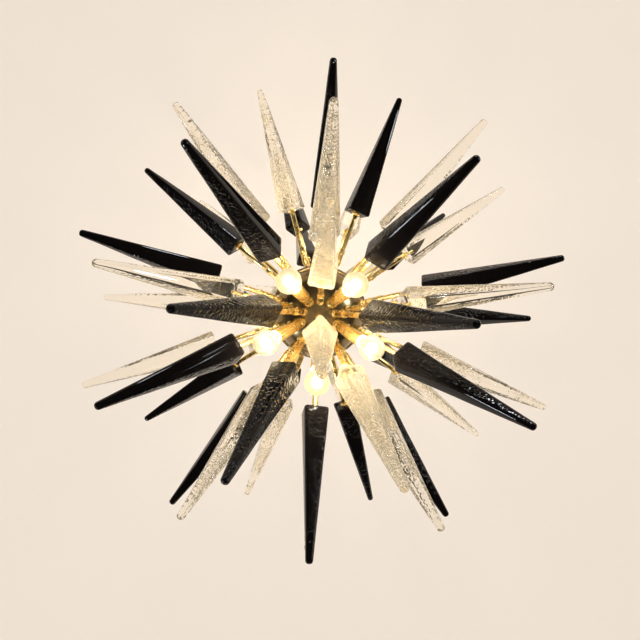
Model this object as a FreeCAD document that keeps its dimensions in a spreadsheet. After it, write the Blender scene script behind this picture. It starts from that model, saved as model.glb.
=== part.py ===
import FreeCAD, Part
import math
import os
import Sketcher

# Sputnik chandelier: 51 tapered square glass spikes and 8 small globe lamps on brass rods that
# radiate from a hub under a ceiling stem. Millimetres, +Z up. The origin is on the stem's axis
# in the ceiling plane. Polar angles are counted from straight down, azimuths from +X towards +Y.

doc = FreeCAD.newDocument("sputnik_chandelier")
sheet = doc.addObject("Spreadsheet::Sheet", "dims")

DIMENSIONS = [
    # ceiling fixing
    ("hub_drop", 560), ("bracket_length", 116), ("bracket_width", 24), ("bracket_sheet", 3),
    ("bracket_step", 10), ("bracket_flat", 42), ("bolt_spacing", 88.9), ("bolt_hole_radius", 2.75),
    ("bend_run", 8), ("canopy_radius", 65), ("canopy_height", 34), ("canopy_wall", 1.2),
    ("ceiling_gap", 0.3), ("nipple_radius", 5), ("nipple_bore", 3.6), ("nipple_length", 40),
    ("nut_flats", 15), ("nut_height", 5), ("collar_radius", 13), ("collar_height", 12),
    ("block_length", 30), ("block_width", 14), ("block_height", 12), ("cable_radius", 3.2),
    ("post_radius", 5.5),
    # stem and hub
    ("stem_radius", 8), ("running_fit", 0.15), ("thread_fit", 0.05), ("hub_radius", 92),
    ("hub_height", 70), ("hub_wall", 1.5), ("band_radius", 98), ("core_radius", 44),
    ("core_chamber", 32), ("thread_depth", 10), ("spacer_radius", 12),
    ("core_screw_radius", 1.5), ("core_screw_grip", 11), ("core_screw_azimuth", 27),
    ("stud_radius", 2), ("stud_polar", 36), ("dome_nut_radius", 4.6),
    # rods and their turned collars
    ("rod_radius", 5), ("rod_thread", 3), ("spigot_radius", 3), ("spigot_length", 16),
    ("skirt_wall", 1.1), ("skirt_depth", 7), ("flange_step", 1.4), ("collar_length", 48),
    ("collar_grip", 14), ("neck_wall", 1.3), ("seat_flare", 3.5), ("seat_height", 3),
    # glass spikes
    ("base_radius", 218), ("tip_radius", 474), ("base_side", 46), ("tip_side", 12.5),
    ("edge_round", 5.5), ("end_bevel", 4.5),
    # lamps
    ("cup_skirt", 7.5), ("cup_radius", 10.6), ("sleeve_radius", 13), ("sleeve_wall", 0.8),
    ("sleeve_start", 18), ("sleeve_mouth", 98), ("holder_gap", 0.2), ("holder_back", 30),
    ("cap_radius", 6.9), ("cap_start", 76), ("cap_length", 25), ("globe_radius", 22.5),
    ("globe_centre", 130), ("bulb_neck", 7.6), ("lead_radius", 1.6),
    # polar angles of the rings of spikes and lamps
    ("polar_pole", 0), ("polar_first", 25), ("polar_second", 46), ("polar_third", 75),
    ("polar_fourth", 98), ("polar_fifth", 126), ("polar_sixth", 152),
    ("polar_front_lamps", 28.5), ("polar_rear_lamps", 135),
]
for row, (alias, value) in enumerate(DIMENSIONS, start=1):
    sheet.set("A%d" % row, alias)
    sheet.set("B%d" % row, str(value))
    sheet.setAlias("B%d" % row, alias)
doc.recompute()

FIFTHS = range(0, 360, 72)
# Each ring of spikes: name, polar angle's alias, black azimuths, clear azimuths.
RINGS = [
    ("pole", "polar_pole", [], [0]),
    ("ring_1", "polar_first", [126, 198, 342], [54, 270]),
    ("ring_2", "polar_second", [a + 18 for a in FIFTHS], [a + 54 for a in FIFTHS]),
    ("ring_3", "polar_third", [a + 54 for a in FIFTHS], [a + 18 for a in FIFTHS]),
    ("ring_4", "polar_fourth", [a for a in FIFTHS], [a + 36 for a in FIFTHS]),
    ("ring_5", "polar_fifth", [a + 36 for a in FIFTHS], [a for a in FIFTHS]),
    ("ring_6", "polar_sixth", [36, 108, 252], [180, 324]),
]
# The lamps: polar angle's alias and azimuth, five below the hub and three above it.
LAMPS = [("polar_front_lamps", a + 18) for a in FIFTHS]
LAMPS += [("polar_rear_lamps", a) for a in (18, 162, 270)]
ROD_PLACES = [(polar, a) for _, polar, black, clear in RINGS for a in black + clear]
STUD_PLACES = [("stud_polar", a + 54) for a in FIFTHS]

HUB_CENTRE = "vector(0; 0; -dims.hub_drop)"
NODES = []


def size(expression):
    """Value in millimetres of an expression over the sheet."""
    return float(sheet.evalExpression(expression))


def keep(feature, name):
    """Name a finished feature as a sub-part that is written out."""
    feature.Label = name
    NODES.append(feature)
    return feature


def plane(body, role):
    return [f for f in body.Origin.OriginFeatures if f.Role == role][0]


def closed_sketch(body, name, role, points):
    """Closed outline through (x, y) expressions, every corner dimensioned from the origin."""
    sketch = body.newObject("Sketcher::SketchObject", name)
    sketch.AttachmentSupport = [(plane(body, role), "")]
    sketch.MapMode = "FlatFace"
    corners = [FreeCAD.Vector(size(x), size(y), 0) for x, y in points]
    count = len(corners)
    for i in range(count):
        sketch.addGeometry(Part.LineSegment(corners[i], corners[(i + 1) % count]), False)
    for i in range(count):
        sketch.addConstraint(Sketcher.Constraint("Coincident", i, 2, (i + 1) % count, 1))
    for i, (x, y) in enumerate(points):
        for kind, text, value in (("DistanceX", x, corners[i].x), ("DistanceY", y, corners[i].y)):
            index = sketch.addConstraint(Sketcher.Constraint(kind, -1, 1, i, 1, value))
            if text != "0":
                sketch.setExpression("Constraints[%d]" % index, text)
    return sketch


def turned(name, points, upright=False):
    """Turned piece. Points are (along the axis, radius); the axis is +X, or +Z if upright."""
    body = doc.addObject("PartDesign::Body", name)
    if upright:
        outline = closed_sketch(body, name + "_outline", "XZ_Plane", [(r, z) for z, r in points])
    else:
        outline = closed_sketch(body, name + "_outline", "XY_Plane", points)
    turn = body.newObject("PartDesign::Revolution", name + "_turn")
    turn.Profile = outline
    turn.ReferenceAxis = (outline, ["V_Axis" if upright else "H_Axis"])
    turn.Angle = 360
    return body


def tube(name, start, end, outer, bore, upright=False):
    return turned(name, [(start, bore), (end, bore), (end, outer), (start, outer)], upright)


def rod(name, start, end, radius, upright=False):
    return tube(name, start, end, radius, "0", upright)


def surface_radius(polar):
    """Distance from the hub's centre to its outside at a polar angle, as an expression."""
    return ("(1 / sqrt((sin(dims.{0} * 1 deg) / dims.hub_radius) ^ 2"
            " + (cos(dims.{0} * 1 deg) / dims.hub_height) ^ 2))").format(polar)


def place_from_hub(feature, polar, azimuth, roll=0, offset="0"):
    """Turn a piece made along +X to its direction from the hub's centre."""
    turn = "rotation({1}; 90 - dims.{0}; {2})".format(polar, azimuth, roll)
    feature.setExpression("Placement", "placement({0}; {1}) * placement(vector({2}; 0; 0);"
                          " rotation(0; 0; 0))".format(HUB_CENTRE, turn, offset))


def spread(name, master, places, on_surface=False, first_roll=0, roll_step=0):
    """One node of separate copies of a master, one for each (polar angle, azimuth)."""
    copies = []
    for index, (polar, azimuth) in enumerate(places):
        copy = doc.addObject("App::Link", "%s_%d" % (name, index + 1))
        copy.LinkedObject = master
        copy.LinkTransform = True
        offset = surface_radius(polar) if on_surface else "0"
        place_from_hub(copy, polar, azimuth, (first_roll + index * roll_step) % 90, offset)
        copies.append(copy)
    group = doc.addObject("Part::Compound", name)
    group.Links = copies
    return group


def cut(name, base, tool):
    feature = doc.addObject("Part::Cut", name)
    feature.Base = base
    feature.Tool = tool
    return feature


def at_hub(feature):
    feature.setExpression("Placement", "placement(%s; rotation(0; 0; 0))" % HUB_CENTRE)
    return feature


def half_dome(name, radius, height, wall, upper):
    """Hollow half of a flattened ball, its rim in the local XY plane."""
    shells = []
    for part, inset in (("outer", "0"), ("inner", wall)):
        dome = doc.addObject("Part::Ellipsoid", "%s_%s" % (name, part))
        dome.setExpression("Radius1", "(%s - %s) * 1 mm" % (height, inset))
        dome.setExpression("Radius2", "(%s - %s) * 1 mm" % (radius, inset))
        dome.setExpression("Radius3", "(%s - %s) * 1 mm" % (radius, inset))
        dome.Angle1 = 0 if upper else -90
        dome.Angle2 = 90 if upper else 0
        shells.append(dome)
    return cut(name + "_dome", *shells)


def placed(feature, z):
    feature.setExpression("Placement", "placement(vector(0; 0; %s); rotation(0; 0; 0))" % z)
    return feature


# ---- ceiling bracket: a strip of steel bent into a low hat, two bolt holes, one nipple hole ----
bracket = doc.addObject("PartDesign::Body", "ceiling_bracket")
half = "dims.bracket_length / 2"
knee = "(dims.bracket_length / 2 - dims.bracket_flat / 2)"
foot = "(%s - dims.bend_run)" % knee
hat_top = [("-" + half, "0"), ("-" + knee, "0"), ("-" + foot, "-dims.bracket_step"),
           (foot, "-dims.bracket_step"), (knee, "0"), (half, "0")]
hat_bottom = [(x, "%s - dims.bracket_sheet" % y) for x, y in reversed(hat_top)]
outline = closed_sketch(bracket, "hat_outline", "XZ_Plane", hat_top + hat_bottom)
strip = bracket.newObject("PartDesign::Pad", "hat_strip")
strip.Profile = outline
strip.Midplane = True
strip.setExpression("Length", "dims.bracket_width * 1 mm")
doc.recompute()
holes = bracket.newObject("Sketcher::SketchObject", "strip_holes")
holes.AttachmentSupport = [(plane(bracket, "XY_Plane"), "")]
holes.MapMode = "FlatFace"
HOLES = [("-dims.bolt_spacing / 2", "dims.bolt_hole_radius"),
         ("dims.bolt_spacing / 2", "dims.bolt_hole_radius"),
         ("0", "dims.nipple_radius + dims.running_fit")]
for i, (x, radius) in enumerate(HOLES):
    centre = FreeCAD.Vector(size(x), 0, 0)
    holes.addGeometry(Part.Circle(centre, FreeCAD.Vector(0, 0, 1), size(radius)), False)
    index = holes.addConstraint(Sketcher.Constraint("Radius", i, size(radius)))
    holes.setExpression("Constraints[%d]" % index, radius)
    index = holes.addConstraint(Sketcher.Constraint("DistanceX", -1, 1, i, 3, centre.x))
    if x != "0":
        holes.setExpression("Constraints[%d]" % index, x)
    holes.addConstraint(Sketcher.Constraint("PointOnObject", i, 3, -1))
drill = bracket.newObject("PartDesign::Pocket", "drilled")
drill.Profile = holes
drill.Type = "ThroughAll"
drill.Midplane = True
keep(bracket, "ceiling_bracket")

# ---- threaded nipple that hangs the stem from the bracket, and its two hexagon nuts ----
nipple_top = "-1"
nipple_end = "-(1 + dims.nipple_length)"
nipple = tube("nipple", nipple_end, nipple_top, "dims.nipple_radius", "dims.nipple_bore", True)
keep(nipple, "bracket_nipple")


def hex_nut(name, top):
    """Hexagon nut on the nipple, its upper face at height top."""
    prism = doc.addObject("Part::Prism", name + "_hexagon")
    prism.Polygon = 6
    prism.setExpression("Circumradius", "dims.nut_flats / sqrt(3) * 1 mm")
    prism.setExpression("Height", "dims.nut_height * 1 mm")
    placed(prism, "(%s) - dims.nut_height" % top)
    bore = doc.addObject("Part::Cylinder", name + "_bore")
    bore.setExpression("Radius", "(dims.nipple_radius + dims.thread_fit) * 1 mm")
    bore.setExpression("Height", "dims.nut_height * 1 mm")
    placed(bore, "(%s) - dims.nut_height" % top)
    return cut(name, prism, bore)


upper_nut = hex_nut("upper_nut", "-dims.bracket_step + dims.nut_height")
lower_nut = hex_nut("lower_nut", "-dims.bracket_step - dims.bracket_sheet")
nuts = doc.addObject("Part::Compound", "nipple_nuts")
nuts.Links = [upper_nut, lower_nut]
keep(nuts, "nipple_nuts")

# ---- terminal block and earth screw under the bracket ----
block = doc.addObject("Part::Box", "ceiling_terminal_block")
block.setExpression("Length", "dims.block_width * 1 mm")
block.setExpression("Width", "dims.block_length * 1 mm")
block.setExpression("Height", "dims.block_height * 1 mm")
block.setExpression("Placement", "placement(vector(dims.nut_flats * 0.7; -dims.block_length / 2;"
                    " -dims.bracket_step - dims.bracket_sheet - dims.block_height);"
                    " rotation(0; 0; 0))")
keep(block, "ceiling_terminal_block")

EARTH_PLACE = "placement(vector(-18; 0; -dims.bracket_step - dims.bracket_sheet); rotation(0; 90; 0))"
earth = turned("earth_screw", [("0", "0"), ("0", "4"), ("2.6", "4"), ("2.6", "2"), ("9", "2"),
                               ("9", "0")])
earth.setExpression("Placement", EARTH_PLACE)
keep(earth, "bracket_earth_screw")

# ---- canopy: a spun dome that hides the bracket, with the collar and screw that hold it up ----
stem_clear = "dims.stem_radius + dims.running_fit"
canopy_dome = half_dome("canopy", "dims.canopy_radius", "dims.canopy_height", "dims.canopy_wall",
                        False)
canopy_hole = doc.addObject("Part::Cylinder", "canopy_hole")
canopy_hole.setExpression("Radius", "(%s) * 1 mm" % stem_clear)
canopy_hole.setExpression("Height", "dims.canopy_height * 1.5 * 1 mm")
placed(canopy_hole, "-dims.canopy_height * 1.5")
canopy = cut("canopy_spun", canopy_dome, canopy_hole)
placed(canopy, "-dims.ceiling_gap")
keep(canopy, "canopy")

collar_top = "(-dims.ceiling_gap - dims.canopy_height)"
collar_low = "(%s - dims.collar_height)" % collar_top
collar = turned("collar_turned", [(collar_low, stem_clear), (collar_top, stem_clear),
                                  (collar_top, "dims.collar_radius"),
                                  (collar_low + " + 3", "dims.collar_radius"),
                                  (collar_low, "dims.collar_radius - 2.5")], True)
screw_hole = rod("collar_screw_hole", "dims.stem_radius", "dims.collar_radius + 2",
                 "2 + dims.thread_fit")
SCREW_HEIGHT = "-dims.ceiling_gap - dims.canopy_height - dims.collar_height / 2"
placed(screw_hole, SCREW_HEIGHT)
keep(cut("collar_drilled", collar, screw_hole), "canopy_collar")
screw = turned("collar_screw", [(stem_clear, "0"), (stem_clear, "2"),
                                ("dims.collar_radius + 1", "2"), ("dims.collar_radius + 1", "3.5"),
                                ("dims.collar_radius + 5", "3.5"), ("dims.collar_radius + 5", "0")])
placed(screw, SCREW_HEIGHT)
keep(screw, "collar_screw")

# ---- stem: a brass tube from the bracket's nipple down into the top of the hub's core ----
stem_top = "-(dims.bracket_step + dims.bracket_sheet + dims.nut_height)"
stem_end = "-(dims.hub_drop - dims.core_radius + dims.thread_depth)"
keep(tube("stem", stem_end, stem_top, "dims.stem_radius", "dims.nipple_radius + dims.thread_fit",
          True), "stem_tube")
cable_end = "-(dims.hub_drop - dims.block_height / 2)"
keep(rod("cable", cable_end, "-4", "dims.cable_radius", True), "supply_cable")

# ---- rod collars, rods and glass seats: every spike has one of each ----
skirt = "dims.rod_radius + dims.skirt_wall"
flange = skirt + " + dims.flange_step"
thread_bore = "dims.rod_thread + dims.thread_fit"
neck = "dims.rod_thread + dims.neck_wall"
reach = "dims.collar_length"
rod_bore = "dims.rod_radius + dims.thread_fit"
socket = "(dims.collar_length - dims.collar_grip)"
collar_master = turned("rod_collar", [
    ("-dims.skirt_depth", thread_bore), (socket, thread_bore), (socket, rod_bore), (reach, rod_bore),
    (reach, skirt), (reach + " - 6", skirt), (reach + " - 6.6", skirt + " + 0.9"),
    (reach + " - 9.4", skirt + " + 0.9"), (reach + " - 10", skirt), (reach + " - 12", skirt + " - 0.3"),
    ("16", skirt + " + 0.4"), ("13.5", skirt + " + 0.2"), ("12", skirt + " - 0.8"), ("11.2", neck),
    ("5.4", neck), ("4.7", skirt + " + 0.5"), ("3.8", flange), ("2.4", flange), ("1.8", skirt),
    ("-dims.skirt_depth", skirt)])
keep(spread("collars", collar_master, ROD_PLACES, on_surface=True), "rod_collars")

thread_end = "dims.core_radius - dims.thread_depth"
shoulder = "dims.base_radius - dims.seat_height"
rod_sets = []
for ring, polar, black, clear in RINGS:
    rod_start = "%s + %s" % (surface_radius(polar), socket)
    rod_master = turned("rod_" + ring, [
        (thread_end, "0"), (thread_end, "dims.rod_thread"), (rod_start, "dims.rod_thread"),
        (rod_start, "dims.rod_radius"), (shoulder, "dims.rod_radius"), (shoulder, "dims.spigot_radius"),
        ("dims.base_radius + dims.spigot_length", "dims.spigot_radius"),
        ("dims.base_radius + dims.spigot_length", "0")])
    rod_sets.append(spread("rods_" + ring, rod_master, [(polar, a) for a in black + clear]))
rods = doc.addObject("Part::Compound", "all_rods")
rods.Links = rod_sets
keep(rods, "spike_rods")

spigot_clear = "dims.spigot_radius + dims.thread_fit"
seat_rim = "dims.rod_radius + dims.seat_flare"
seat_master = turned("glass_seat", [
    (shoulder, spigot_clear), ("dims.base_radius", spigot_clear), ("dims.base_radius", seat_rim),
    ("dims.base_radius - 1", seat_rim), (shoulder, "dims.rod_radius + 1")])
keep(spread("seats", seat_master, ROD_PLACES), "glass_seats")

# ---- glass spike: a tapering square bar with rounded edges, bevelled ends and a blind bore ----
spike = doc.addObject("PartDesign::Body", "glass_spike")
taper = spike.newObject("PartDesign::AdditiveWedge", "taper")
taper.AttachmentSupport = [(plane(spike, "XY_Plane"), "")]
taper.MapMode = "FlatFace"
taper.setExpression("AttachmentOffset", "placement(vector(dims.base_radius; 0; 0);"
                    " rotation(-90; 0; 0))")
for name, value in (("Xmin", "-dims.base_side / 2"), ("Xmax", "dims.base_side / 2"),
                    ("Zmin", "-dims.base_side / 2"), ("Zmax", "dims.base_side / 2"),
                    ("X2min", "-dims.tip_side / 2"), ("X2max", "dims.tip_side / 2"),
                    ("Z2min", "-dims.tip_side / 2"), ("Z2max", "dims.tip_side / 2"),
                    ("Ymax", "dims.tip_radius - dims.base_radius")):
    taper.setExpression(name, "(%s) * 1 mm" % value)
taper.Ymin = 0
doc.recompute()


def edges_where(shape, test):
    return ["Edge%d" % (i + 1) for i, edge in enumerate(shape.Edges) if test(edge.BoundBox)]


rounded = spike.newObject("PartDesign::Fillet", "rounded_edges")
rounded.Base = (taper, edges_where(taper.Shape, lambda box: box.XLength > 1))
rounded.setExpression("Radius", "dims.edge_round * 1 mm")
doc.recompute()
bevel = spike.newObject("PartDesign::Chamfer", "bevelled_ends")
bevel.Base = (rounded, edges_where(rounded.Shape, lambda box: box.XLength < 1))
bevel.setExpression("Size", "dims.end_bevel * 1 mm")
doc.recompute()
bore_end = "dims.base_radius + dims.spigot_length + 0.3"
bore_outline = closed_sketch(spike, "bore_outline", "XY_Plane", [
    ("dims.base_radius - 1", "0"), (bore_end, "0"), (bore_end, spigot_clear),
    ("dims.base_radius - 1", spigot_clear)])
drilled = spike.newObject("PartDesign::Groove", "blind_bore")
drilled.Profile = bore_outline
drilled.ReferenceAxis = (bore_outline, ["H_Axis"])
drilled.Angle = 360

for ring, polar, black, clear in RINGS:
    for colour, azimuths in (("black", black), ("clear", clear)):
        if azimuths:
            places = [(polar, a) for a in azimuths]
            keep(spread("%s_%s" % (colour, ring), spike, places, first_roll=45, roll_step=37),
                 "spikes_%s_%s" % (colour, ring))

# ---- hub core: a hollow ball in two halves, drilled for every rod, nipple, stud and the stem ----


def drill_set(name, radius, start, end, places, on_surface=False):
    return spread(name, rod(name + "_bit", start, end, radius), places, on_surface)


stud_clear = "dims.stud_radius + dims.thread_fit"
nipple_clear = "dims.nipple_radius + dims.thread_fit"
core_drills = doc.addObject("Part::Compound", "core_drills")
core_drills.Links = [
    drill_set("rod_taps", thread_bore, "dims.core_chamber - 4",
              "dims.core_radius + 4", ROD_PLACES),
    drill_set("lamp_taps", nipple_clear, "dims.core_chamber - 4", "dims.core_radius + 4", LAMPS),
    drill_set("stud_taps", stud_clear, "dims.core_radius - 8", "dims.core_radius + 4", STUD_PLACES)]

stem_bore = doc.addObject("Part::Cylinder", "stem_bore")
stem_bore.setExpression("Radius", "(dims.stem_radius + dims.thread_fit) * 1 mm")
stem_bore.setExpression("Height", "dims.hub_height * 1.5 * 1 mm")


CORE_SCREW_CIRCLE = "(dims.core_radius + dims.core_chamber) / 2"
core_screw_head = "sqrt(dims.core_radius ^ 2 - (%s + dims.core_screw_radius) ^ 2)" % CORE_SCREW_CIRCLE


def vertical_screws(name, radius, low, high):
    """Five upright cylinders on the core's screw circle, clear of every radial hole."""
    body = rod(name, low, high, radius, True)
    pins = doc.addObject("Part::Compound", name + "_set")
    pins.Links = []
    links = []
    for index, azimuth in enumerate(FIFTHS):
        link = doc.addObject("App::Link", "%s_%d" % (name, index + 1))
        link.LinkedObject = body
        link.LinkTransform = True
        link.setExpression("Placement", "placement(vector(0; 0; 0); rotation(%d +"
                           " dims.core_screw_azimuth; 0; 0)) * placement(vector("
                           "%s; 0; 0); rotation(0; 0; 0))" % (azimuth, CORE_SCREW_CIRCLE))
        links.append(link)
    pins.Links = links
    return pins


screw_taps = vertical_screws("screw_tap", "dims.core_screw_radius + dims.thread_fit",
                             "-dims.core_radius", "dims.core_screw_grip + 1")
for upper in (True, False):
    name = "core_upper" if upper else "core_lower"
    ball = half_dome(name, "dims.core_radius", "dims.core_radius",
                     "(dims.core_radius - dims.core_chamber)", upper)
    tapped = at_hub(cut(name + "_tapped", ball, screw_taps))
    if upper:
        tapped = cut(name + "_stem_bore", tapped, at_hub(stem_bore))
    keep(cut(name + "_drilled", tapped, core_drills), "hub_" + name)
core_screws = at_hub(vertical_screws("core_screw", "dims.core_screw_radius",
                                     "0.4 - " + core_screw_head, "dims.core_screw_grip"))
keep(core_screws, "core_screws")

block_body = doc.addObject("Part::Box", "hub_block_body")
block_body.setExpression("Length", "dims.block_length * 1 mm")
block_body.setExpression("Width", "dims.block_width * 1 mm")
block_body.setExpression("Height", "dims.block_height * 1 mm")
block_body.setExpression("Placement", "placement(vector(-dims.block_length / 2;"
                         " -dims.block_width / 2; -dims.block_height / 2); rotation(0; 0; 0))")
POST_FOOT = "(sqrt(dims.core_chamber ^ 2 - dims.post_radius ^ 2) - 0.1)"
post = doc.addObject("Part::Cylinder", "hub_block_post")
post.setExpression("Radius", "dims.post_radius * 1 mm")
post.setExpression("Height", POST_FOOT + " * 1 mm")
placed(post, "-" + POST_FOOT)
hub_block = doc.addObject("Part::Fuse", "hub_block_on_post")
hub_block.Base = block_body
hub_block.Tool = post
keep(at_hub(hub_block), "hub_terminal_block")

# ---- hub shells: two spun covers drilled for the collars, lamp cups and studs, and their band ----
shell_drills = doc.addObject("Part::Compound", "shell_drills")
shell_drills.Links = [
    drill_set("collar_holes", skirt + " + dims.running_fit", "dims.core_radius + 6",
              "dims.band_radius + 10", ROD_PLACES),
    drill_set("cup_holes", "dims.cup_skirt + dims.running_fit", "dims.core_radius + 6",
              "dims.band_radius + 10", LAMPS),
    drill_set("stud_holes", "dims.stud_radius + dims.running_fit", "dims.core_radius + 6",
              "dims.band_radius + 10", STUD_PLACES)]
for upper in (True, False):
    name = "upper" if upper else "lower"
    dome = at_hub(half_dome("shell_" + name, "dims.hub_radius", "dims.hub_height", "dims.hub_wall",
                            upper))
    if upper:
        dome = cut("shell_stem_hole", dome, stem_bore)
    keep(cut("shell_%s_drilled" % name, dome, shell_drills), "hub_%s_shell" % name)

band_bore = "dims.hub_radius + dims.running_fit"
band_half = "(abs(cos(dims.polar_fourth * 1 deg)) * dims.hub_radius - (%s) - dims.running_fit)" % flange
band_step = "dims.band_radius - 3"
band_edge = "dims.band_radius - 1"
band = turned("hub_band", [
    ("-" + band_half, band_bore), (band_half, band_bore), (band_half, band_step),
    (band_half + " - 2", band_step), (band_half + " - 3", band_edge), ("0", "dims.band_radius"),
    ("3 - " + band_half, band_edge), ("2 - " + band_half, band_step), ("-" + band_half, band_step)],
    True)
keep(at_hub(band), "hub_rim_band")

inner_height = "(dims.hub_height - dims.hub_wall)"
spacer_top = inner_height + (" * sqrt(1 - (dims.spacer_radius / (dims.hub_radius - dims.hub_wall)) ^ 2)"
                             " - dims.running_fit")
spacer_foot = "sqrt(dims.core_radius ^ 2 - (%s) ^ 2)" % stem_clear
keep(at_hub(tube("spacer", spacer_foot, spacer_top, "dims.spacer_radius", stem_clear, True)),
     "hub_spacer")
keep(at_hub(turned("top_nut", [
    ("dims.hub_height", "dims.stem_radius + dims.thread_fit"),
    ("dims.hub_height + 12", "dims.stem_radius + dims.thread_fit"),
    ("dims.hub_height + 12", "dims.spacer_radius - 1"), ("dims.hub_height + 4", "dims.spacer_radius"),
    ("dims.hub_height + 3", "dims.spacer_radius + 3"), ("dims.hub_height", "dims.spacer_radius + 3")],
    True)), "hub_top_nut")

stud_end = surface_radius("stud_polar") + " + 5"
stud_master = rod("stud", "dims.core_radius - 8", stud_end, "dims.stud_radius")
keep(spread("studs", stud_master, STUD_PLACES), "shell_studs")
nut_master = turned("dome_nut", [
    ("0.9", stud_clear), ("5.5", stud_clear), ("5.5", "0"), ("8.5", "0"), ("7.7", "2.4"),
    ("5.6", "dims.dome_nut_radius - 0.7"), ("3.6", "dims.dome_nut_radius"),
    ("2", "dims.dome_nut_radius"), ("0.9", "dims.stud_radius + 1")])
keep(spread("dome_nuts", nut_master, STUD_PLACES, on_surface=True), "shell_nuts")

# ---- lamps: nipple, cup, sleeve, holder, contact, leads, and the bulb that screws in ----
nipple_back = "-(%s - dims.core_radius + dims.thread_depth)" % surface_radius("polar_front_lamps")
holder_back = "dims.holder_back"
cup_bore = "dims.nipple_radius + dims.thread_fit"
lamp_nipple = tube("lamp_nipple", nipple_back, holder_back + " + 8", "dims.nipple_radius",
                   "dims.nipple_bore")
keep(spread("nipples", lamp_nipple, LAMPS, on_surface=True), "lamp_nipples")
bowl = "dims.cup_radius"
cup_flange = "dims.cup_skirt + 2.2"
seat_bore = "dims.cup_radius - dims.sleeve_wall - dims.thread_fit"
step = "dims.sleeve_start"
lamp_cup = turned("lamp_cup", [
    ("-8", cup_bore), (step + " + 6", cup_bore), (step + " + 6", seat_bore), (step, seat_bore),
    (step, bowl), (step + " - 3", bowl), (step + " - 4", bowl + " - 1"), (step + " - 5", bowl),
    (step + " - 8", bowl), (step + " - 9.5", bowl + " - 1"), (step + " - 10.2", "dims.cup_skirt"),
    ("6", "dims.cup_skirt"), ("5.2", "dims.cup_skirt + 1.6"), ("4.2", cup_flange),
    ("2.8", cup_flange), ("2.2", "dims.cup_skirt"), ("-8", "dims.cup_skirt")])
keep(spread("cups", lamp_cup, LAMPS, on_surface=True), "lamp_cups")
sleeve_bore = "dims.sleeve_radius - dims.sleeve_wall"
lamp_sleeve = turned("lamp_sleeve", [
    (step, bowl + " - dims.sleeve_wall"), (step + " + 6", bowl + " - dims.sleeve_wall"),
    ("dims.sleeve_mouth", sleeve_bore), ("dims.sleeve_mouth", "dims.sleeve_radius"),
    (step + " + 6", bowl), (step, bowl)])
keep(spread("sleeves", lamp_sleeve, LAMPS, on_surface=True), "lamp_sleeves")
holder_bore = "dims.cap_radius + dims.running_fit"
holder_mouth = "dims.sleeve_mouth - 1"
chamber = "dims.cap_start - 6"
lamp_holder = turned("lamp_holder", [
    (holder_back, cup_bore), (chamber + " - 3", cup_bore), (chamber + " - 3", "2"),
    (chamber, "2"), (chamber, holder_bore), (holder_mouth, holder_bore),
    (holder_mouth, sleeve_bore + " - 2 * dims.holder_gap"),
    (holder_back, bowl + " - dims.sleeve_wall - dims.holder_gap")])
keep(spread("holders", lamp_holder, LAMPS, on_surface=True), "lampholders")
contact = turned("lamp_contact", [
    (chamber + " - 8", "0"), (chamber + " - 8", "1.9"), (chamber, "1.9"), (chamber, "5"),
    (chamber + " + 1", "5"), ("dims.cap_start - 1.3", "1.6"), ("dims.cap_start - 0.3", "1.6"),
    ("dims.cap_start - 0.3", "0")])
keep(spread("contacts", contact, LAMPS, on_surface=True), "holder_contacts")
lead = rod("lamp_lead", nipple_back + " - 6", chamber + " - 8.3", "dims.lead_radius")
keep(spread("leads", lead, LAMPS, on_surface=True), "lamp_leads")

cap_end = "dims.cap_start + dims.cap_length"
cap_master = turned("bulb_cap", [
    ("dims.cap_start", "0"), ("dims.cap_start", "2.4"), ("dims.cap_start + 3.5", "4.2"),
    ("dims.cap_start + 3.5", "dims.cap_radius"), (cap_end, "dims.cap_radius"), (cap_end, "0")])


def bulb_outline(body):
    """Half section of the bulb's glass: a short neck that runs into a round globe."""
    sketch = body.newObject("Sketcher::SketchObject", "bulb_section")
    sketch.AttachmentSupport = [(plane(body, "XY_Plane"), "")]
    sketch.MapMode = "FlatFace"
    centre = FreeCAD.Vector(size("dims.globe_centre"), 0, 0)
    radius = size("dims.globe_radius")
    back = FreeCAD.Vector(size(cap_end), 0, 0)
    neck = FreeCAD.Vector(back.x, size("dims.bulb_neck"), 0)
    join = centre + FreeCAD.Vector(math.cos(NECK_TURN), math.sin(NECK_TURN), 0) * radius
    front = centre + FreeCAD.Vector(radius, 0, 0)
    ball = Part.Circle(centre, FreeCAD.Vector(0, 0, 1), radius)
    sketch.addGeometry(Part.LineSegment(back, neck), False)
    sketch.addGeometry(Part.LineSegment(neck, join), False)
    sketch.addGeometry(Part.ArcOfCircle(ball, 0, NECK_TURN), False)
    sketch.addGeometry(Part.LineSegment(front, back), False)
    for first, second in (((0, 2), (1, 1)), ((1, 2), (2, 2)), ((2, 1), (3, 1)), ((3, 2), (0, 1))):
        sketch.addConstraint(Sketcher.Constraint("Coincident", *first, *second))
    sketch.addConstraint(Sketcher.Constraint("Vertical", 0))
    sketch.addConstraint(Sketcher.Constraint("PointOnObject", 0, 1, -1))
    sketch.addConstraint(Sketcher.Constraint("PointOnObject", 2, 1, -1))
    sketch.addConstraint(Sketcher.Constraint("PointOnObject", 2, 3, -1))
    for args, text in ((("DistanceX", -1, 1, 0, 1, back.x), cap_end),
                       (("DistanceY", -1, 1, 0, 2, neck.y), "dims.bulb_neck"),
                       (("DistanceX", -1, 1, 2, 3, centre.x), "dims.globe_centre"),
                       (("Radius", 2, radius), "dims.globe_radius"),
                       (("DistanceY", -1, 1, 1, 2, join.y), "dims.globe_radius * 0.48")):
        index = sketch.addConstraint(Sketcher.Constraint(*args))
        sketch.setExpression("Constraints[%d]" % index, text)
    return sketch


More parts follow.
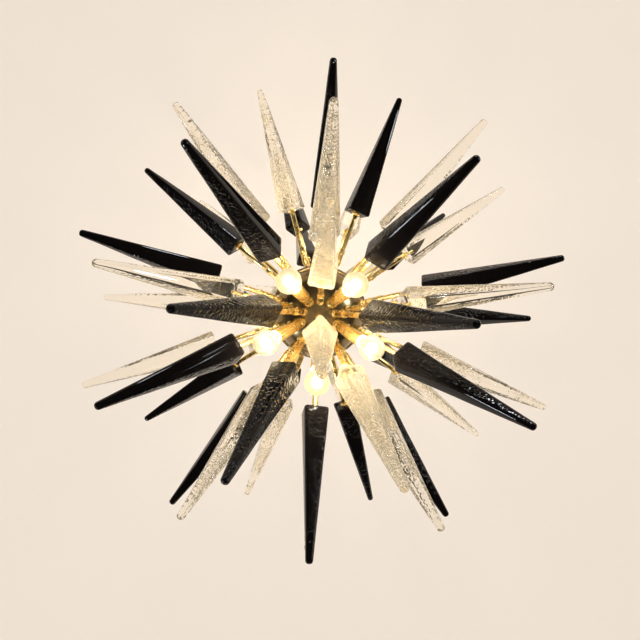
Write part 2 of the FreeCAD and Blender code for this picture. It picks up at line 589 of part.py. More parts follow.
NECK_TURN = math.radians(180) - math.asin(0.48)
bulb_master = doc.addObject("PartDesign::Body", "bulb_glass")
bulb_section = bulb_outline(bulb_master)
bulb_turn = bulb_master.newObject("PartDesign::Revolution", "bulb_turn")
bulb_turn.Profile = bulb_section
bulb_turn.ReferenceAxis = (bulb_section, ["H_Axis"])
bulb_turn.Angle = 360
for number, place in enumerate(LAMPS, start=1):
    keep(spread("glass_%d" % number, bulb_master, [place], on_surface=True), "bulb_glass_%d" % number)
    keep(spread("cap_%d" % number, cap_master, [place], on_surface=True), "bulb_cap_%d" % number)

# ---- check every feature and write the sub-parts ----
doc.recompute()
for feature in doc.Objects:
    if "Invalid" in feature.State or "Error" in feature.State:
        raise RuntimeError("failed: %s %s" % (feature.Name, feature.State))
os.makedirs("parts", exist_ok=True)
for node in NODES:
    shape = node.Shape
    if shape.isNull() or not shape.isValid() or not shape.Solids:
        raise RuntimeError("bad shape: " + node.Label)
for node in NODES:
    node.Shape.exportStep("parts/%s.step" % node.Label)
    print("%-26s solids %3d  volume %12.0f" % (node.Label, len(node.Shape.Solids), node.Shape.Volume))
print("sub-parts:", len(NODES))
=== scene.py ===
import math
import bmesh
import bpy
from mathutils import Matrix, Vector, noise


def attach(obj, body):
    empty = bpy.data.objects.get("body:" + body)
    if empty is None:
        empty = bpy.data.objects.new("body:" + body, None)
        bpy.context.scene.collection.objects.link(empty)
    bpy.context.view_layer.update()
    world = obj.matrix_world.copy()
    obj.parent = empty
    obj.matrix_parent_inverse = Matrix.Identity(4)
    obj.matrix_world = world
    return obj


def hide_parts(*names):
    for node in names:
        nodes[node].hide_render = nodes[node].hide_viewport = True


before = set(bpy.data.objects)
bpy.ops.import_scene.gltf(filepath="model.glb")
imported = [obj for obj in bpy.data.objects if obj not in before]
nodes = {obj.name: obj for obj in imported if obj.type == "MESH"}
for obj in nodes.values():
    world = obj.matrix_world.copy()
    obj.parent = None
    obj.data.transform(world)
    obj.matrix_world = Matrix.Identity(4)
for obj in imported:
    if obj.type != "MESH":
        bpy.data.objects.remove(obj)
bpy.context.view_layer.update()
scene = bpy.context.scene

# ---------------------------------------------------------------------------------------------
# Viewpoint. The photograph was taken from almost straight below the hub, looking up at a pale
# ceiling, with the pole spike leaning nine degrees towards the bottom of the picture.
# ---------------------------------------------------------------------------------------------
hub_centre = Vector((0, 0, -0.560))
PICTURE = 640
TILT = math.radians(8.84)
LEAN = math.radians(0.44)
TWIST = math.radians(-2.92)
VIEW_DISTANCE = 1.058
FOCAL_PIXELS = 510.4
HUB_PIXEL = (319.0, 312.4)

aim = Matrix.Rotation(LEAN, 3, "Y") @ Matrix.Rotation(TILT, 3, "X") @ Matrix.Rotation(TWIST, 3, "Z")
looking_up = Matrix(((1, 0, 0), (0, -1, 0), (0, 0, -1)))
turn = looking_up @ aim.transposed()
camera_data = bpy.data.cameras.new("camera")
camera_data.sensor_width = 36.0
camera_data.lens = camera_data.sensor_width * FOCAL_PIXELS / PICTURE
camera_data.shift_x = (PICTURE / 2 - HUB_PIXEL[0]) / PICTURE
camera_data.shift_y = (HUB_PIXEL[1] - PICTURE / 2) / PICTURE
camera_data.clip_end = 50.0
camera = bpy.data.objects.new("camera", camera_data)
camera.matrix_world = Matrix.Translation(hub_centre + turn.col[2] * VIEW_DISTANCE) @ turn.to_4x4()
scene.collection.objects.link(camera)
scene.camera = camera
scene.view_settings.view_transform = "Standard"

# ---------------------------------------------------------------------------------------------
# Room. A plain cream ceiling lies just above the bracket and a plain pale floor far below; each
# is seen only from the side that faces the room. Three softboxes light the object from below
# the hub's height.
# ---------------------------------------------------------------------------------------------
CEILING_TINT = (0.45, 0.41, 0.36, 1)
CEILING_GLOW = (0.950, 0.862, 0.772, 1)
FLOOR_TINT = (0.55, 0.53, 0.50, 1)
CEILING_LIGHT = 0.68
CEILING_GAP = 0.0004
ROOM_HEIGHT = 2.70
ROOM_SIZE = 60.0


def room_face(name, height, faces_up, tint, glow, strength):
    """One-sided plane of the room, softly lit: a back face is invisible."""
    bm = bmesh.new()
    bmesh.ops.create_grid(bm, x_segments=1, y_segments=1, size=ROOM_SIZE / 2)
    if not faces_up:
        bmesh.ops.reverse_faces(bm, faces=bm.faces)
    bmesh.ops.translate(bm, verts=bm.verts, vec=(0, 0, height))
    mesh = bpy.data.meshes.new(name)
    bm.to_mesh(mesh)
    bm.free()
    plane = bpy.data.objects.new(name, mesh)
    scene.collection.objects.link(plane)
    material = bpy.data.materials.new(name + "_paint")
    material.use_nodes = True
    tree = material.node_tree
    paint = tree.nodes["Principled BSDF"]
    paint.inputs["Base Color"].default_value = tint
    paint.inputs["Roughness"].default_value = 0.9
    paint.inputs["Specular IOR Level"].default_value = 0.1
    paint.inputs["Emission Color"].default_value = glow
    paint.inputs["Emission Strength"].default_value = strength
    side = tree.nodes.new("ShaderNodeNewGeometry")
    clear = tree.nodes.new("ShaderNodeBsdfTransparent")
    mix = tree.nodes.new("ShaderNodeMixShader")
    tree.links.new(side.outputs["Backfacing"], mix.inputs[0])
    tree.links.new(paint.outputs[0], mix.inputs[1])
    tree.links.new(clear.outputs[0], mix.inputs[2])
    tree.links.new(mix.outputs[0], tree.nodes["Material Output"].inputs["Surface"])
    mesh.materials.append(material)
    return plane


ceiling = room_face("ceiling", CEILING_GAP, False, CEILING_TINT, CEILING_GLOW, CEILING_LIGHT)
floor = room_face("floor", -ROOM_HEIGHT, True, FLOOR_TINT, FLOOR_TINT, 0.0)
floor.visible_glossy = False
floor.visible_transmission = False

besides_room = bpy.data.collections.new("besides_room")
for number, face in enumerate((ceiling, floor)):
    besides_room.objects.link(face)
    besides_room.collection_objects[number].light_linking.link_state = "EXCLUDE"

LIT_POINT = Vector((0, 0, -0.5))


def soft_light(name, place, size, power, tint):
    """Round softbox that lights the object but neither ceiling nor floor."""
    data = bpy.data.lights.new(name, "AREA")
    data.shape = "DISK"
    data.size = size
    data.energy = power
    data.color = tint
    light = bpy.data.objects.new(name, data)
    aim_at = (LIT_POINT - Vector(place)).to_track_quat("-Z", "Y")
    light.matrix_world = Matrix.Translation(place) @ aim_at.to_matrix().to_4x4()
    scene.collection.objects.link(light)
    light.visible_camera = False
    light.light_linking.receiver_collection = besides_room


soft_light("window_left", (-2.6, 2.2, -2.0), 0.45, 45, (0.84, 0.91, 1.0))
soft_light("window_right", (2.8, -1.2, -1.7), 0.35, 30, (0.86, 0.92, 1.0))
soft_light("window_far", (0.4, -3.0, -1.2), 0.35, 25, (0.90, 0.94, 1.0))
world = bpy.data.worlds.new("room_air")
world.use_nodes = True
world.node_tree.nodes["Background"].inputs["Color"].default_value = (1.0, 0.92, 0.84, 1)
world.node_tree.nodes["Background"].inputs["Strength"].default_value = 0.05
scene.world = world

# ---------------------------------------------------------------------------------------------
# Brass. Rods, collars, shells, stem and canopy are lacquered brass, turned or spun: a warm metal
# with a faint grain and patches of finger haze. The spun pieces get a darkened copy of the same
# brass, painted shade for the dark room that the hub reflects.
# ---------------------------------------------------------------------------------------------


def effect_group(name, inputs, outputs):
    """Empty shader node group with float inputs {name: value} and outputs {name: type}."""
    group = bpy.data.node_groups.new(name, "ShaderNodeTree")
    for label, value in inputs.items():
        socket = group.interface.new_socket(label, in_out="INPUT", socket_type="NodeSocketFloat")
        socket.default_value = value
    for label, kind in outputs.items():
        group.interface.new_socket(label, in_out="OUTPUT", socket_type=kind)
    return group, group.nodes.new("NodeGroupInput"), group.nodes.new("NodeGroupOutput")


def noise_node(tree, coordinates, scale, detail):
    """Noise texture whose scale is a number or another node's output."""
    texture = tree.nodes.new("ShaderNodeTexNoise")
    texture.inputs["Detail"].default_value = detail
    if isinstance(scale, (int, float)):
        texture.inputs["Scale"].default_value = scale
    else:
        tree.links.new(scale, texture.inputs["Scale"])
    tree.links.new(coordinates, texture.inputs["Vector"])
    return texture


def remap(tree, value, low, high, to_low, to_high):
    """Stretch a value to another range; each limit is a number or another node's output."""
    node = tree.nodes.new("ShaderNodeMapRange")
    limits = {"From Min": low, "From Max": high, "To Min": to_low, "To Max": to_high}
    for socket, number in limits.items():
        if isinstance(number, (int, float)):
            node.inputs[socket].default_value = number
        else:
            tree.links.new(number, node.inputs[socket])
    tree.links.new(value, node.inputs["Value"])
    return node.outputs["Result"]


haze, haze_in, haze_out = effect_group(
    "lacquer_haze", {"Smooth": 0.1, "Dull": 0.3, "Size": 60.0, "Grain": 900.0},
    {"Roughness": "NodeSocketFloat", "Patch": "NodeSocketFloat", "Height": "NodeSocketFloat"})
haze_place = haze.nodes.new("ShaderNodeTexCoord")
haze_cloud = noise_node(haze, haze_place.outputs["Object"], haze_in.outputs["Size"], 3.0)
haze_grain = noise_node(haze, haze_place.outputs["Object"], haze_in.outputs["Grain"], 2.0)
haze_patch = remap(haze, haze_cloud.outputs["Fac"], 0.42, 0.72, 0.0, 1.0)
haze.links.new(remap(haze, haze_patch, 0.0, 1.0, haze_in.outputs["Smooth"], haze_in.outputs["Dull"]),
               haze_out.inputs["Roughness"])
haze.links.new(haze_patch, haze_out.inputs["Patch"])
haze.links.new(haze_grain.outputs["Fac"], haze_out.inputs["Height"])


def hazy_surface(name, bright, dark, smooth, dull, size, grain, depth, strength):
    """Material whose colour and gloss wander a little between bright and hazy."""
    material = bpy.data.materials.new(name)
    material.use_nodes = True
    tree = material.node_tree
    surface = tree.nodes["Principled BSDF"]
    wear = tree.nodes.new("ShaderNodeGroup")
    wear.node_tree = haze
    for label, value in (("Smooth", smooth), ("Dull", dull), ("Size", size), ("Grain", grain)):
        wear.inputs[label].default_value = value
    colour = tree.nodes.new("ShaderNodeMix")
    colour.data_type = "RGBA"
    colour.inputs["A"].default_value = bright
    colour.inputs["B"].default_value = dark
    bump = tree.nodes.new("ShaderNodeBump")
    bump.inputs["Distance"].default_value = depth
    bump.inputs["Strength"].default_value = strength
    tree.links.new(wear.outputs["Patch"], colour.inputs["Factor"])
    tree.links.new(colour.outputs["Result"], surface.inputs["Base Color"])
    tree.links.new(wear.outputs["Roughness"], surface.inputs["Roughness"])
    tree.links.new(wear.outputs["Height"], bump.inputs["Height"])
    tree.links.new(bump.outputs["Normal"], surface.inputs["Normal"])
    return material


METAL_GRAIN = 900.0
METAL_DEPTH = 0.00002
METAL_BUMP = 0.35


def metal(name, bright, dark, smooth, dull, size=60.0):
    """Polished or plated metal with a very fine grain."""
    material = hazy_surface(name, bright, dark, smooth, dull, size, METAL_GRAIN, METAL_DEPTH,
                            METAL_BUMP)
    material.node_tree.nodes["Principled BSDF"].inputs["Metallic"].default_value = 1.0
    return material


def finish_nodes(material, *names):
    """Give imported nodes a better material, in every slot they have."""
    for name in names:
        mesh = nodes[name].data
        mesh.materials.clear()
        mesh.materials.append(material)


polished_brass = metal("polished_brass", (1.0, 0.77, 0.32, 1), (0.92, 0.65, 0.23, 1), 0.2, 0.34)
# Darker copy of the polished brass: painted shade for the hub's dark reflections, not a different
# metal.
spun_brass = metal("spun_brass", (0.30, 0.215, 0.10, 1), (0.22, 0.155, 0.07, 1), 0.18, 0.28, size=25.0)
finish_nodes(spun_brass, "canopy")
finish_nodes(polished_brass, "stem_tube", "canopy_collar", "collar_screw", "hub_top_nut", "hub_spacer")

# ---------------------------------------------------------------------------------------------
# Ceiling fixing. A zinc-plated steel strip with its nipple and nuts, a brass earth screw, a
# nylon terminal block and the sheathed cable sit inside the canopy and the stem. The hub's
# core, the lampholders and the leads have the same plain finishes.
# ---------------------------------------------------------------------------------------------
zinc = metal("zinc_plate", (0.62, 0.63, 0.64, 1), (0.48, 0.48, 0.47, 1), 0.28, 0.5, size=120.0)
plain_brass = metal("plain_brass", (0.78, 0.56, 0.27, 1), (0.55, 0.38, 0.18, 1), 0.25, 0.45, size=90.0)
finish_nodes(zinc, "ceiling_bracket", "bracket_nipple", "nipple_nuts")
finish_nodes(plain_brass, "bracket_earth_screw", "core_screws", "hub_core_upper", "hub_core_lower",
             "holder_contacts")

PLASTIC_MOTTLE = 150.0
PLASTIC_GRAIN = 2500.0
PLASTIC_DEPTH = 0.00004
PLASTIC_SPREAD = 0.15


def moulded(name, tint, shade, roughness):
    """Moulded plastic with a faint mottle and fine grain."""
    return hazy_surface(name, tint, shade, roughness, roughness + PLASTIC_SPREAD, PLASTIC_MOTTLE,
                        PLASTIC_GRAIN, PLASTIC_DEPTH, 1.0)


finish_nodes(moulded("nylon", (0.86, 0.85, 0.80, 1), (0.78, 0.76, 0.70, 1), 0.4),
             "ceiling_terminal_block", "hub_terminal_block")
finish_nodes(moulded("holder_resin", (0.80, 0.76, 0.67, 1), (0.70, 0.66, 0.57, 1), 0.45), "lampholders")
finish_nodes(moulded("silicone", (0.66, 0.62, 0.56, 1), (0.58, 0.54, 0.48, 1), 0.5), "supply_cable",
             "lamp_leads")

# ---------------------------------------------------------------------------------------------
# Directions. Every rod and lamp points away from the hub's centre; polar angles are counted
# from straight down and azimuths from +X, in rings of five or ten.
# ---------------------------------------------------------------------------------------------
POLAR = {"pole": 0, "ring_1": 25, "ring_2": 46, "ring_3": 75, "ring_4": 98, "ring_5": 126,
         "ring_6": 152}
FIFTHS = range(0, 360, 72)
AZIMUTHS = {
    ("clear", "pole"): [0],
    ("black", "ring_1"): [126, 198, 342], ("clear", "ring_1"): [54, 270],
    ("black", "ring_2"): [a + 18 for a in FIFTHS], ("clear", "ring_2"): [a + 54 for a in FIFTHS],
    ("black", "ring_3"): [a + 54 for a in FIFTHS], ("clear", "ring_3"): [a + 18 for a in FIFTHS],
    ("black", "ring_4"): list(FIFTHS), ("clear", "ring_4"): [a + 36 for a in FIFTHS],
    ("black", "ring_5"): [a + 36 for a in FIFTHS], ("clear", "ring_5"): list(FIFTHS),
    ("black", "ring_6"): [36, 108, 252], ("clear", "ring_6"): [180, 324],
}
HUB_RADIUS = 0.092
HUB_HEIGHT = 0.070


def outward(polar, azimuth, roll=0.0, along=0.0):
    """Matrix that takes a piece made along +X to its direction from the hub's centre."""
    return (Matrix.Translation(hub_centre) @ Matrix.Rotation(math.radians(azimuth), 4, "Z")
            @ Matrix.Rotation(math.radians(90 - polar), 4, "Y")
            @ Matrix.Rotation(math.radians(roll), 4, "X") @ Matrix.Translation((along, 0, 0)))


def hub_surface(polar):
    """Distance from the hub's centre to its flattened surface."""
    angle = math.radians(polar)
    return 1 / math.hypot(math.sin(angle) / HUB_RADIUS, math.cos(angle) / HUB_HEIGHT)


# ---------------------------------------------------------------------------------------------
# Glass spikes. Each is a bar of cast glass, square at the rod and tapering to a blunt tip, with
# fire-rounded edges. Two opposite faces keep the pitted skin of the mould and two are smooth,
# but on the pole spike and the first ring all four are pitted.
# ---------------------------------------------------------------------------------------------
BASE_AT = 0.218
TIP_AT = 0.474
BASE_SIDE = 0.046
TIP_SIDE = 0.0125
EDGE_ROUND = 0.0062
END_ROUND = 0.0046
SLICES = 36
WOBBLE = 0.0007
SKIN_EDGE = 0.86
SKIN_FADE = 9.0
RIPPLE_ALONG = 22
RIPPLE_ACROSS = 60
SEED_STEP = 7.3
FIRST_ROLL = 45
ROLL_STEP = 37


def spike_mesh(seed, smooth_side):
    """One spike along +X, with its pitted faces marked in the attribute skin."""
    bm = bmesh.new()
    bmesh.ops.create_cube(bm, size=1.0)
    for vert in bm.verts:
        side = BASE_SIDE if vert.co.x < 0 else TIP_SIDE
        vert.co = Vector((BASE_AT if vert.co.x < 0 else TIP_AT, vert.co.y * side, vert.co.z * side))
    bm.faces.ensure_lookup_table()
    skin = bm.verts.layers.float.new("skin")
    long_edges = [e for e in bm.edges if abs(e.verts[0].co.x - e.verts[1].co.x) > 0.1]
    bmesh.ops.bevel(bm, geom=long_edges, offset=EDGE_ROUND, offset_type="OFFSET", segments=5,
                    profile=0.5, affect="EDGES", material=-1)
    end_edges = [e for e in bm.edges if abs(e.verts[0].co.x - e.verts[1].co.x) < 0.001
                 and len({round(f.normal.x, 1) for f in e.link_faces}) > 1]
    bmesh.ops.bevel(bm, geom=end_edges, offset=END_ROUND, offset_type="OFFSET", segments=4,
                    profile=0.5, affect="EDGES", material=-1)
    for step in range(1, SLICES):
        cut_at = BASE_AT + END_ROUND + (TIP_AT - BASE_AT - 2 * END_ROUND) * step / SLICES
        bmesh.ops.bisect_plane(bm, geom=bm.verts[:] + bm.edges[:] + bm.faces[:],
                               plane_co=(cut_at, 0, 0), plane_no=(1, 0, 0))
    for vert in bm.verts:
        share = (vert.co.x - BASE_AT) / (TIP_AT - BASE_AT)
        half = (BASE_SIDE + (TIP_SIDE - BASE_SIDE) * share) / 2
        vert[skin] = max(smooth_side, min(1.0, (abs(vert.co.y) / half - SKIN_EDGE) * SKIN_FADE))
        ripple = noise.noise(Vector((vert.co.x * RIPPLE_ALONG, vert.co.y * RIPPLE_ACROSS,
                                     vert.co.z * RIPPLE_ACROSS + seed * SEED_STEP)))
        inward = Vector((0, -vert.co.y, -vert.co.z)).normalized() if half else Vector()
        vert.co += inward * WOBBLE * (0.5 + 0.5 * ripple)
    bmesh.ops.recalc_face_normals(bm, faces=bm.faces)
    mesh = bpy.data.meshes.new("spike")
    bm.to_mesh(mesh)
    bm.free()
    return mesh


def gather(name, placed_meshes, material, body="frame", replaced=()):
    """One piece from copies of meshes, each taken to its place by a matrix."""
    bm = bmesh.new()
    for mesh, matrix in placed_meshes:
        first = len(bm.verts)
        bm.from_mesh(mesh)
        bm.verts.ensure_lookup_table()
        bmesh.ops.transform(bm, matrix=matrix, verts=bm.verts[first:])
    joined = bpy.data.meshes.new(name)
    bm.to_mesh(joined)
    bm.free()
    joined.shade_smooth()
    joined.materials.append(material)
    piece = bpy.data.objects.new(name, joined)
    scene.collection.objects.link(piece)
    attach(piece, body)
    if replaced:
        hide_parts(*replaced)
    return piece


pits, pits_in, pits_out = effect_group(
    "mould_skin", {"Cell": 300.0, "Fine": 900.0},
    {"Height": "NodeSocketFloat", "Mask": "NodeSocketFloat"})
pits_place = pits.nodes.new("ShaderNodeTexCoord")
pits_skin = pits.nodes.new("ShaderNodeAttribute")
pits_skin.attribute_name = "skin"
pits_cells = pits.nodes.new("ShaderNodeTexVoronoi")
pits_cells.feature = "SMOOTH_F1"
pits_cells.inputs["Smoothness"].default_value = 0.35
pits.links.new(pits_place.outputs["Object"], pits_cells.inputs["Vector"])
pits.links.new(pits_in.outputs["Cell"], pits_cells.inputs["Scale"])
pits_fine = noise_node(pits, pits_place.outputs["Object"], pits_in.outputs["Fine"], 2.0)
pits_patch = noise_node(pits, pits_place.outputs["Object"], 16.0, 2.0)
pits_zone = pits.nodes.new("ShaderNodeMath")
pits_zone.operation = "MULTIPLY"
pits.links.new(pits_skin.outputs["Fac"], pits_zone.inputs[0])
pits.links.new(remap(pits, pits_patch.outputs["Fac"], 0.36, 0.55, 0.15, 1.0), pits_zone.inputs[1])
pits_sum = pits.nodes.new("ShaderNodeMath")
pits_sum.operation = "MULTIPLY_ADD"
pits_ridge = remap(pits, pits_cells.outputs["Distance"], 0.22, 0.62, 0.0, 1.0)
pits_ridge.node.interpolation_type = "SMOOTHERSTEP"
pits.links.new(pits_ridge, pits_sum.inputs[0])
pits.links.new(pits_zone.outputs[0], pits_sum.inputs[1])
pits_weak = pits.nodes.new("ShaderNodeMath")
pits_weak.operation = "MULTIPLY"
pits.links.new(remap(pits, pits_fine.outputs["Fac"], 0.0, 1.0, 0.0, 0.10), pits_weak.inputs[0])
pits.links.new(pits_zone.outputs[0], pits_weak.inputs[1])
pits.links.new(pits_weak.outputs[0], pits_sum.inputs[2])
pits.links.new(pits_sum.outputs[0], pits_out.inputs["Height"])
pits.links.new(pits_zone.outputs[0], pits_out.inputs["Mask"])


def pitted_surface(material, cell, depth):
    """Link the mould skin's bump into a glass; return its tree, shader and skin node."""
    material.use_nodes = True
    tree = material.node_tree
    surface = tree.nodes["Principled BSDF"]
    skin = tree.nodes.new("ShaderNodeGroup")
    skin.node_tree = pits
    skin.inputs["Cell"].default_value = cell
    bump = tree.nodes.new("ShaderNodeBump")
    bump.inputs["Distance"].default_value = depth
    tree.links.new(skin.outputs["Height"], bump.inputs["Height"])
    tree.links.new(bump.outputs["Normal"], surface.inputs["Normal"])
    return tree, surface, skin


def let_light_through(tree, seen, tint):
    """Show a glass as it is, but let shadow rays straight through it with a tint."""
    path = tree.nodes.new("ShaderNodeLightPath")
    straight = tree.nodes.new("ShaderNodeBsdfTransparent")
    straight.inputs["Color"].default_value = tint
    choice = tree.nodes.new("ShaderNodeMixShader")
    tree.links.new(path.outputs["Is Shadow Ray"], choice.inputs[0])
    tree.links.new(seen, choice.inputs[1])
    tree.links.new(straight.outputs[0], choice.inputs[2])
    tree.links.new(choice.outputs[0], tree.nodes["Material Output"].inputs["Surface"])


clear_glass = bpy.data.materials.new("clear_glass")
tree, surface, skin = pitted_surface(clear_glass, 190.0, 0.0024)
surface.inputs["Base Color"].default_value = (1.0, 0.965, 0.90, 1)
surface.inputs["IOR"].default_value = 1.38
surface.inputs["Transmission Weight"].default_value = 1.0
tree.links.new(remap(tree, skin.outputs["Mask"], 0.0, 1.0, 0.0, 0.04), surface.inputs["Roughness"])
milky = tree.nodes.new("ShaderNodeBsdfTranslucent")
milky.inputs["Color"].default_value = (1.0, 0.87, 0.60, 1)
milk_mix = tree.nodes.new("ShaderNodeMixShader")
tree.links.new(remap(tree, skin.outputs["Mask"], 0.0, 1.0, 0.02, 0.17), milk_mix.inputs[0])
tree.links.new(surface.outputs[0], milk_mix.inputs[1])
tree.links.new(milky.outputs[0], milk_mix.inputs[2])
let_light_through(tree, milk_mix.outputs[0], (0.86, 0.85, 0.82, 1))

black_glass = bpy.data.materials.new("black_glass")
tree, surface, skin = pitted_surface(black_glass, 165.0, 0.0010)
surface.inputs["Base Color"].default_value = (0.0025, 0.002, 0.002, 1)
surface.inputs["IOR"].default_value = 1.45
surface.inputs["Specular IOR Level"].default_value = 0.28
tree.links.new(remap(tree, skin.outputs["Mask"], 0.0, 1.0, 0.02, 0.04), surface.inputs["Roughness"])

two_sided = [spike_mesh(seed, 0.0) for seed in range(5)]
all_round = [spike_mesh(seed, 0.8) for seed in range(5, 8)]
glass_of = {"clear": clear_glass, "black": black_glass}
for (colour, ring), azimuths in AZIMUTHS.items():
    node = "spikes_%s_%s" % (colour, ring)
    bars = all_round if ring in ("pole", "ring_1") else two_sided
    copies = [(bars[i % len(bars)], outward(POLAR[ring], azimuth, (FIRST_ROLL + i * ROLL_STEP) % 90))
              for i, azimuth in enumerate(azimuths)]
    gather("glass_%s_%s" % (colour, ring), copies, glass_of[colour],
           replaced=(node,))

# ---------------------------------------------------------------------------------------------
# Rods, collars and seats. Solid brass rods carry the glass; each leaves the hub through a turned
# collar with a flange, a waist and a bead, and meets the glass at a small washer.
# ---------------------------------------------------------------------------------------------
CRISP_ANGLE = math.radians(28)


def lathe(name, profile, steps=32, round_off=0.0004):
    """Turn an (along, radius) outline, closed or ending on the axis, and round its crisp edges."""
    bm = bmesh.new()
    points = [bm.verts.new((along, radius, 0)) for along, radius in profile]
    lines = [bm.edges.new(pair) for pair in zip(points, points[1:])]
    bmesh.ops.spin(bm, geom=points + lines, cent=(0, 0, 0), axis=(1, 0, 0), dvec=(0, 0, 0),
                   angle=math.tau, steps=steps, use_merge=True)
    bmesh.ops.remove_doubles(bm, verts=bm.verts, dist=0.000001)
    bmesh.ops.recalc_face_normals(bm, faces=bm.faces)
    crisp = [e for e in bm.edges if len(e.link_faces) == 2 and e.calc_face_angle() > CRISP_ANGLE]
    if round_off:
        bmesh.ops.bevel(bm, geom=crisp, offset=round_off, offset_type="OFFSET", segments=2,
                        profile=0.5, affect="EDGES", clamp_overlap=True, material=-1)
    mesh = bpy.data.meshes.new(name)
    bm.to_mesh(mesh)
    bm.free()
    return mesh


ROD_PLACES = [(POLAR[ring], azimuth) for (_, ring), azimuths in AZIMUTHS.items()
              for azimuth in azimuths]
ROD_RADIUS = 0.005
THREAD_RADIUS = 0.003
THREAD_FROM = 0.034
SOCKET_DEPTH = 0.034
SHOULDER_AT = 0.215
SPIGOT_END = 0.234
COLLAR_PROFILE = [(-0.007, 0.00305), (-0.007, 0.0061), (0.0018, 0.0061), (0.0024, 0.0075),
                  (0.0038, 0.0075), (0.0047, 0.0066), (0.0054, 0.0043), (0.0112, 0.0043),
                  (0.012, 0.0053), (0.0135, 0.0063), (0.016, 0.0065), (0.036, 0.0058),
                  (0.038, 0.0061), (0.0386, 0.0070), (0.0414, 0.0070), (0.042, 0.0061),
                  (0.048, 0.0061), (0.048, 0.00505), (0.034, 0.00505), (0.034, 0.00305),
                  (-0.007, 0.00305)]
collar = lathe("collar", COLLAR_PROFILE, steps=28)
gather("turned_collars", [(collar, outward(p, a, 0, hub_surface(p))) for p, a in ROD_PLACES],
       polished_brass, replaced=("rod_collars",))
rods = {}
for polar in sorted(set(POLAR.values())):
    step = hub_surface(polar) + SOCKET_DEPTH
    rods[polar] = lathe("rod_%d" % polar, [
        (THREAD_FROM, 0), (THREAD_FROM, THREAD_RADIUS), (step, THREAD_RADIUS), (step, ROD_RADIUS),
        (SHOULDER_AT, ROD_RADIUS), (SHOULDER_AT, THREAD_RADIUS), (SPIGOT_END, THREAD_RADIUS),
        (SPIGOT_END, 0)], steps=24)
gather("brass_rods", [(rods[p], outward(p, a)) for p, a in ROD_PLACES], polished_brass,
       replaced=("spike_rods",))
SEAT_PROFILE = [(SHOULDER_AT, 0.00305), (SHOULDER_AT, 0.006), (0.217, 0.0085), (BASE_AT, 0.0085),
                (BASE_AT, 0.00305), (SHOULDER_AT, 0.00305)]
seat = lathe("seat", SEAT_PROFILE, round_off=0.0002)
gather("seat_washers", [(seat, outward(p, a)) for p, a in ROD_PLACES], polished_brass,
       replaced=("glass_seats",))

# ---------------------------------------------------------------------------------------------
# Hub. Two spun brass covers meet in a stepped band round the equator; five small dome nuts on
# studs hold the lower cover to the core.
# ---------------------------------------------------------------------------------------------
# The covers and band take the darkened brass, painted shade for the dark room they reflect.
finish_nodes(spun_brass, "hub_upper_shell", "hub_lower_shell", "hub_rim_band")
finish_nodes(polished_brass, "shell_nuts", "shell_studs")

# ---------------------------------------------------------------------------------------------
# Lamps. A turned cup on a hollow nipple carries a polished sleeve over the holder; the bulb is
# a small frosted globe with a nickel screw cap.
# ---------------------------------------------------------------------------------------------
FRONT_LAMPS = 28.5
REAR_LAMPS = 135
LAMPS = [(FRONT_LAMPS, azimuth + 18) for azimuth in FIFTHS]
LAMPS += [(REAR_LAMPS, azimuth) for azimuth in (18, 162, 270)]
CUP_PROFILE = [(-0.008, 0.00505), (-0.008, 0.0075), (0.0022, 0.0075), (0.0028, 0.0097),
               (0.0042, 0.0097), (0.0052, 0.0091), (0.006, 0.0075), (0.0078, 0.0075),
               (0.0085, 0.0096), (0.010, 0.0106), (0.013, 0.0106), (0.014, 0.0096),
               (0.015, 0.0106), (0.018, 0.0106), (0.018, 0.0097), (0.024, 0.0097),
               (0.024, 0.00505), (-0.008, 0.00505)]
cup = lathe("cup", CUP_PROFILE, steps=48)
gather("turned_cups", [(cup, outward(p, a, 0, hub_surface(p))) for p, a in LAMPS], polished_brass,
       replaced=("lamp_cups",))
SLEEVE_PROFILE = [(0.018, 0.0098), (0.018, 0.0106), (0.024, 0.0106), (0.098, 0.013), (0.098, 0.0122),
                  (0.024, 0.0098), (0.018, 0.0098)]
sleeve = lathe("sleeve", SLEEVE_PROFILE, steps=48, round_off=0.0002)
gather("polished_sleeves", [(sleeve, outward(p, a, 0, hub_surface(p))) for p, a in LAMPS],
       polished_brass, replaced=("lamp_sleeves",))
finish_nodes(polished_brass, "lamp_nipples")
nickel = metal("nickel_plate", (0.80, 0.79, 0.77, 1), (0.62, 0.61, 0.59, 1), 0.15, 0.3, size=200.0)
GLOBE_AT = 0.130
GLOBE_RADIUS = 0.0225
GLOW_RADIUS = 0.009
LAMP_POWER = 2.3
LAMP_SOFTNESS = 0.014
frosted = bpy.data.materials.new("frosted_globe")
frosted.use_nodes = True
tree = frosted.node_tree
surface = tree.nodes["Principled BSDF"]
surface.inputs["Base Color"].default_value = (0.82, 0.74, 0.56, 1)
surface.inputs["Roughness"].default_value = 0.12
surface.inputs["IOR"].default_value = 1.12
surface.inputs["Transmission Weight"].default_value = 1.0
surface.inputs["Emission Color"].default_value = (1.0, 0.80, 0.46, 1)
surface.inputs["Emission Strength"].default_value = 0.08
vapour = tree.nodes.new("ShaderNodeEmission")
vapour.inputs["Color"].default_value = (1.0, 0.84, 0.56, 1)
vapour.inputs["Strength"].default_value = 26.0
tree.links.new(vapour.outputs[0], tree.nodes["Material Output"].inputs["Volume"])
let_light_through(tree, surface.outputs[0], (1, 1, 1, 1))
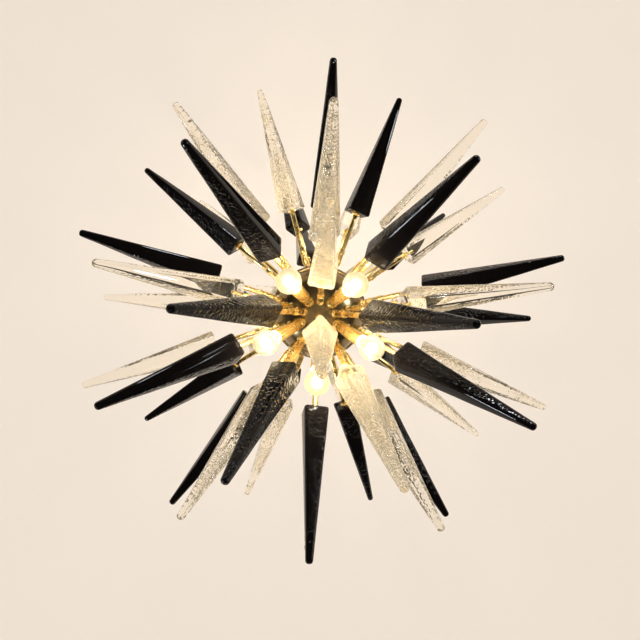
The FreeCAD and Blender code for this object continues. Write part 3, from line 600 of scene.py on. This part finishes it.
glow = bpy.data.materials.new("lamp_glow")
glow.use_nodes = True
glow_surface = glow.node_tree.nodes["Principled BSDF"]
glow_surface.inputs["Base Color"].default_value = (1, 0.95, 0.85, 1)
glow_surface.inputs["Emission Color"].default_value = (1.0, 0.86, 0.66, 1)
glow_surface.inputs["Emission Strength"].default_value = 6.0


def ball(name, radius, along):
    """Round glow inside a globe, along +X from the hub's surface."""
    bm = bmesh.new()
    bmesh.ops.create_icosphere(bm, subdivisions=4, radius=radius)
    bmesh.ops.translate(bm, verts=bm.verts, vec=(along, 0, 0))
    mesh = bpy.data.meshes.new(name)
    bm.to_mesh(mesh)
    bm.free()
    return mesh


NECK = [(0.101, 0.0), (0.101, 0.0076), (0.1102, 0.0108)]
NECK_SHARE = 0.48
GLOBE_STEPS = 28
neck_angle = math.asin(NECK_SHARE)
globe_angles = [neck_angle + (math.pi - neck_angle) * k / GLOBE_STEPS
                for k in range(1, GLOBE_STEPS + 1)]
globe_profile = NECK + [(GLOBE_AT - GLOBE_RADIUS * math.cos(t), GLOBE_RADIUS * math.sin(t))
                        for t in globe_angles]
globe = lathe("globe", globe_profile, steps=56, round_off=0)
for number, (polar, azimuth) in enumerate(LAMPS, start=1):
    place = outward(polar, azimuth, 0, hub_surface(polar))
    body = "bulb_%d" % number
    gather("globe_%d" % number, [(globe, place)], frosted, body,
           ("bulb_glass_%d" % number,))
    gather("glow_%d" % number, [(ball("glow", GLOW_RADIUS, GLOBE_AT), place)], glow, body)
    finish_nodes(nickel, "bulb_cap_%d" % number)
    lamp = bpy.data.lights.new("lamp_%d" % number, "POINT")
    lamp.energy = LAMP_POWER
    lamp.color = (1.0, 0.88, 0.70)
    lamp.shadow_soft_size = LAMP_SOFTNESS
    lamp_object = bpy.data.objects.new("lamp_%d" % number, lamp)
    lamp_object.matrix_world = Matrix.Translation(place @ Vector((GLOBE_AT, 0, 0)))
    lamp_object.visible_camera = False
    lamp_object.visible_transmission = False
    scene.collection.objects.link(lamp_object)
